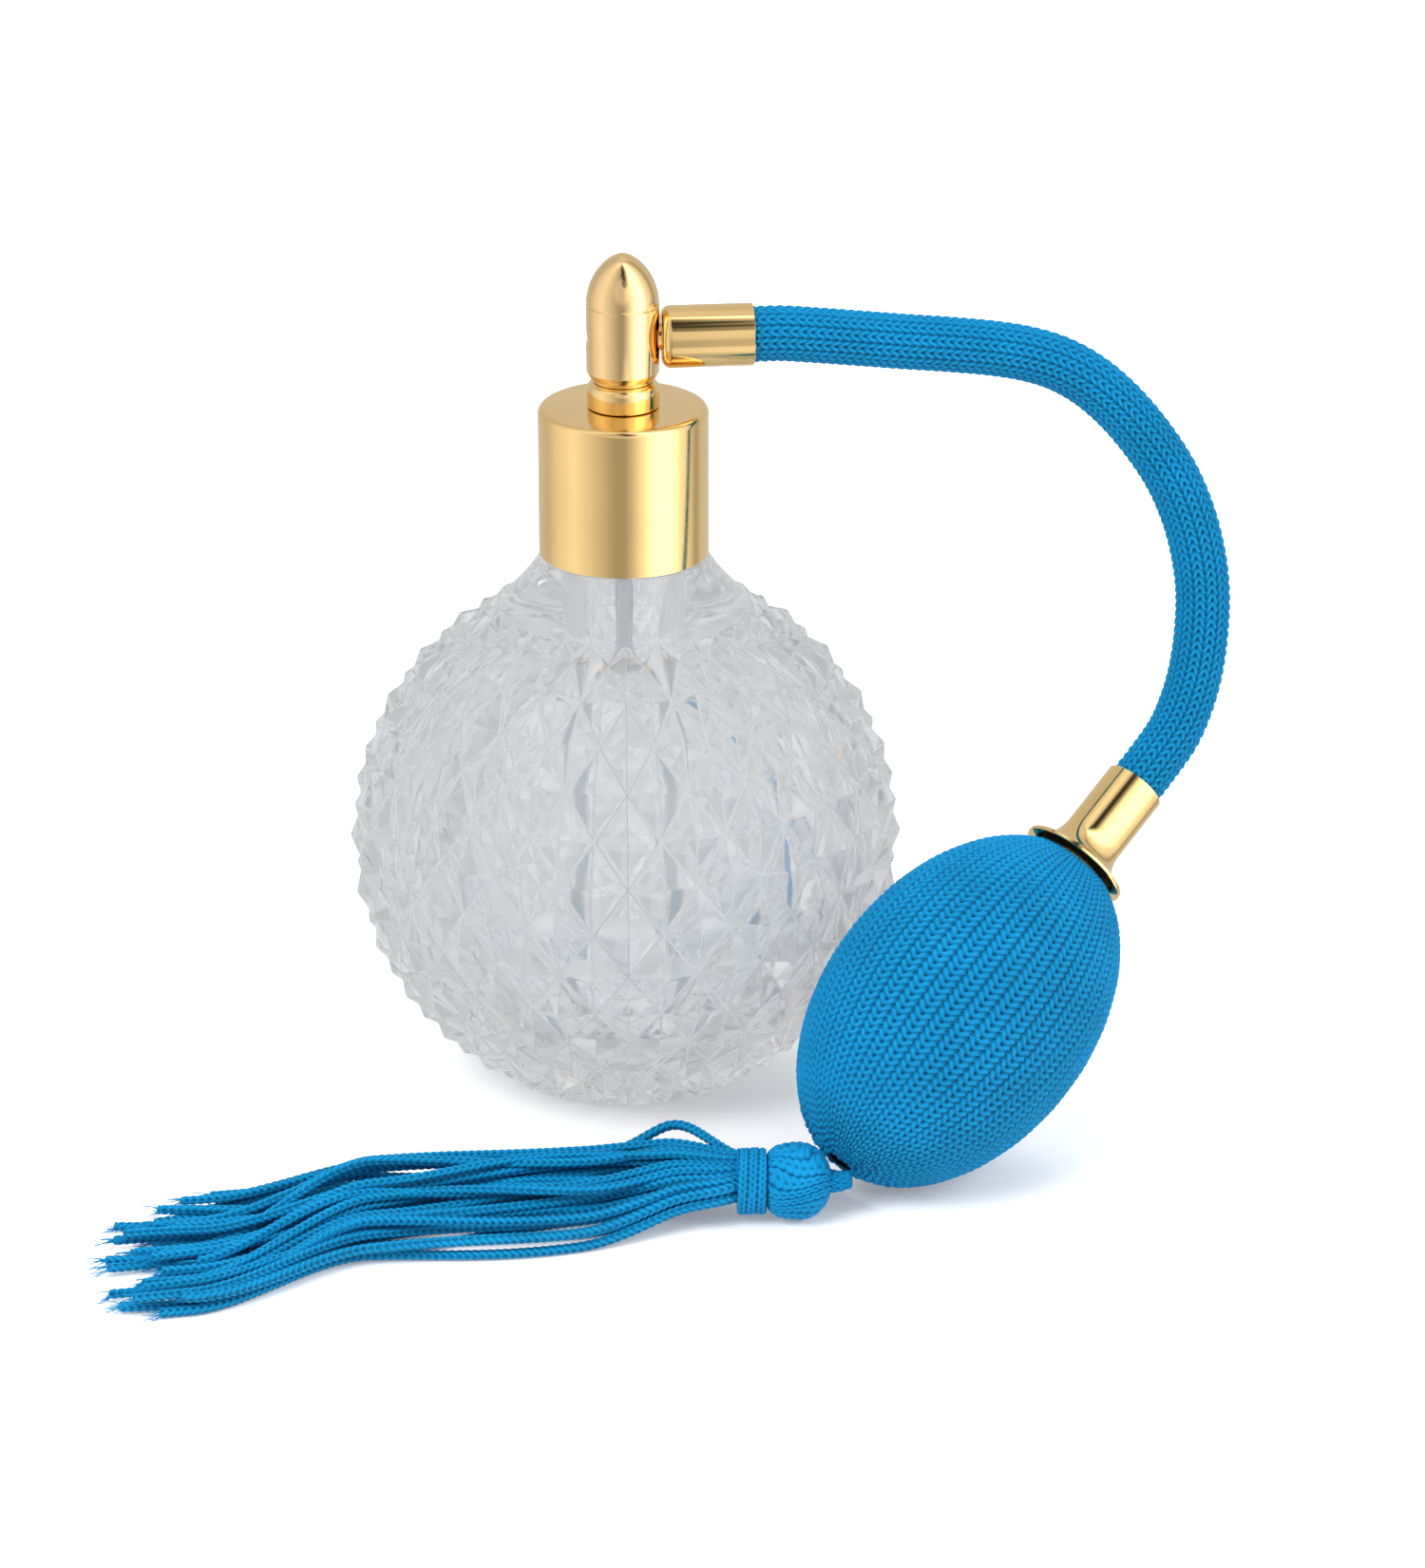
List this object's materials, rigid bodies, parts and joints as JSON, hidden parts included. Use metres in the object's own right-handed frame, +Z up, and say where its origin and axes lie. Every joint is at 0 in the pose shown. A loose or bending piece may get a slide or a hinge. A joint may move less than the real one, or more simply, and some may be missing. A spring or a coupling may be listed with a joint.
{
  "type": "perfume atomiser bottle",
  "caption": "Round diamond-cut glass perfume bottle with a gold screw cap, a bullet spray head, and a knitted hose to a squeeze bulb with a tassel",
  "frame": {"origin": "centre of the flat glass foot, on the table", "axes": "+Z up along the bottle and the spray head; +X along the ferrule and the hose where they leave the spray head; the bulb and its tassel lie on the -Y side"},
  "size_m": [0.1646, 0.1196, 0.1235],
  "materials": {
    "clear_glass": "cut and polished clear glass",
    "polished_gold": "polished gold plate",
    "satin_gold": "satin gold plate",
    "spring_steel": "bright stainless steel",
    "white_plastic": "moulded, natural white",
    "clear_tube": "translucent extruded tube",
    "black_rubber": "moulded matt rubber",
    "blue_knit": "knitted blue yarn in V stitches",
    "blue_cord": "blue yarn and chain-knit cord"
  },
  "bodies": {
    "bottle": {"glass_bottle": "clear_glass"},
    "lifted": {"neck_gasket": "white_plastic"},
    "stem": {"atomiser_stem": "white_plastic", "stem_collar": "polished_gold", "dip_tube": "clear_tube"},
    "cap": {"cap_shell": "polished_gold", "cap_thread_insert": "white_plastic"},
    "head": {"spray_head": "satin_gold", "head_snap_ring": "spring_steel", "nozzle_insert": "polished_gold", "air_nipple": "polished_gold", "hose_ferrule": "polished_gold", "hose_tube": "black_rubber", "hose_sleeve": "blue_knit", "bulb_ferrule": "polished_gold", "bulb_nipple": "white_plastic", "outlet_valve_body": "white_plastic", "inlet_valve_body": "black_rubber", "inlet_valve_retainer": "spring_steel"},
    "bulb_wall": {"rubber_bulb": "black_rubber", "bulb_net": "blue_knit"},
    "outlet_ball": {"outlet_valve_ball": "spring_steel"},
    "inlet_ball": {"inlet_valve_ball": "spring_steel"},
    "tassel": {"tassel_strap": "blue_cord", "tassel_ball": "blue_cord", "tassel_band": "blue_cord", "tassel_skirt": "blue_cord"}
  },
  "joints": [
    {"name": "lift_off", "type": "slide", "parent": "bottle", "child": "lifted", "axis": [0, 0, 1], "range_m": [0, 0.09]},
    {"name": "thread_rise", "type": "slide", "parent": "lifted", "child": "stem", "axis": [0, 0, 1], "range_m": [0, 0.0045]},
    {"name": "cap_turn", "type": "hinge", "parent": "stem", "child": "cap", "pos_m": [0, 0, 0.08], "axis": [0, 0, 1], "range_deg": [0, 540]},
    {"name": "head_swivel", "type": "hinge", "parent": "stem", "child": "head", "pos_m": [0, 0, 0.105], "axis": [0, 0, 1], "continuous": true},
    {"name": "bulb_squeeze", "type": "slide", "parent": "head", "child": "bulb_wall", "axis": [0.5892, -0.808, 0], "range_m": [0, 0.008], "stiffness_N_per_m": 300, "deforming": ["rubber_bulb", "bulb_net"]},
    {"name": "outlet_valve", "type": "slide", "parent": "head", "child": "outlet_ball", "axis": [0.6537, 0.4767, 0.5878], "range_m": [0, 0.003]},
    {"name": "inlet_valve", "type": "slide", "parent": "head", "child": "inlet_ball", "axis": [0.6537, 0.4767, 0.5878], "range_m": [0, 0.0018]},
    {"name": "tassel_swing", "type": "hinge", "parent": "head", "child": "tassel", "pos_m": [0.0265, -0.05625, 0.0053], "axis": [0, 0, 1], "range_deg": [-4, 90]}
  ],
  "couplings": [
    {"joint": "thread_rise", "follows": "cap_turn", "m_per_rad": 0.00047746}
  ]
}
